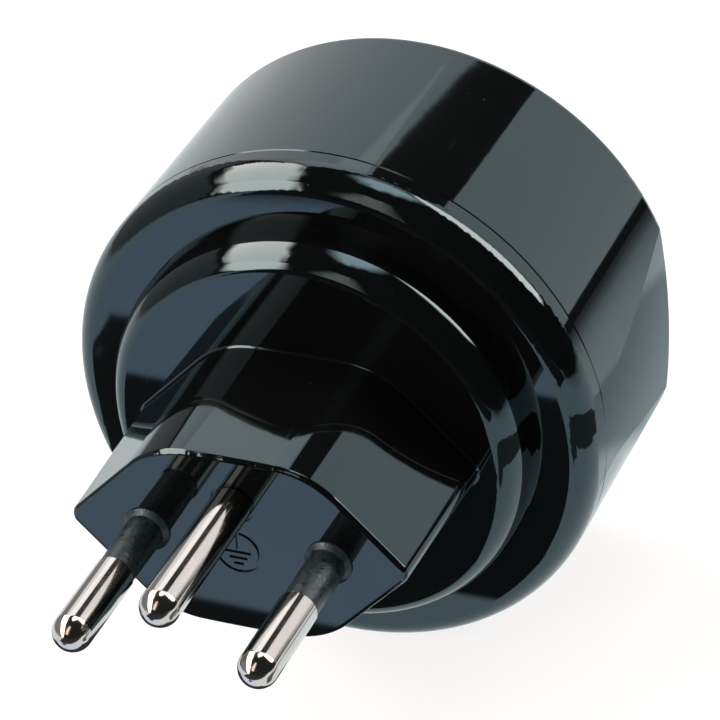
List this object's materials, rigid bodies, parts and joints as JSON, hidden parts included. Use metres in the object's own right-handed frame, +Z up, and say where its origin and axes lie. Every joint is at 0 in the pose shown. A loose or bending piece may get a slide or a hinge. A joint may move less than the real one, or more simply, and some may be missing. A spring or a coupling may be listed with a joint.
{
  "type": "travel adapter",
  "caption": "Glossy black travel adapter: a flat three-pin plug on a round stepped body whose rear end is an earthed, shuttered socket.",
  "frame": {"origin": "midway between the axes of the line and neutral pins, on the flat face of the plug", "axes": "-Y along the pins, into the wall socket; +Y towards the socket opening; +Z up, the side of the earth pin; +X from the neutral pin to the line pin"},
  "size_m": [0.0554, 0.0697, 0.0556],
  "materials": {
    "housing": "polished black",
    "nickel": "polished nickel plate",
    "sleeve": "matte dark grey",
    "brass": "bright stamped",
    "spring_steel": "bright drawn",
    "plated_strip": "nickel plated, satin",
    "inner_plastic": "matte off-white",
    "shutter_plastic": "fine matte black",
    "screw_steel": "zinc plated"
  },
  "bodies": {
    "adapter": {"plug_housing": "housing", "socket_housing": "housing", "line_pin": "nickel", "neutral_pin": "nickel", "earth_pin": "nickel", "line_pin_sleeve": "sleeve", "neutral_pin_sleeve": "sleeve", "line_contact": "brass", "neutral_contact": "brass", "line_contact_ring": "spring_steel", "neutral_contact_ring": "spring_steel", "earth_bracket": "plated_strip", "contact_carrier": "inner_plastic", "carrier_screws": "screw_steel", "cover_screws": "screw_steel", "housing_screw": "screw_steel", "shutter_spring": "spring_steel", "shutter_cover": "inner_plastic"},
    "shutter": {"shutter_rotor": "shutter_plastic"}
  },
  "joints": [
    {"name": "shutter_turn", "type": "hinge", "parent": "adapter", "child": "shutter", "pos_m": [0, 0.0291, 0], "axis": [0, -1, 0], "range_deg": [0, 42], "stiffness_Nm_per_rad": 0.002}
  ]
}
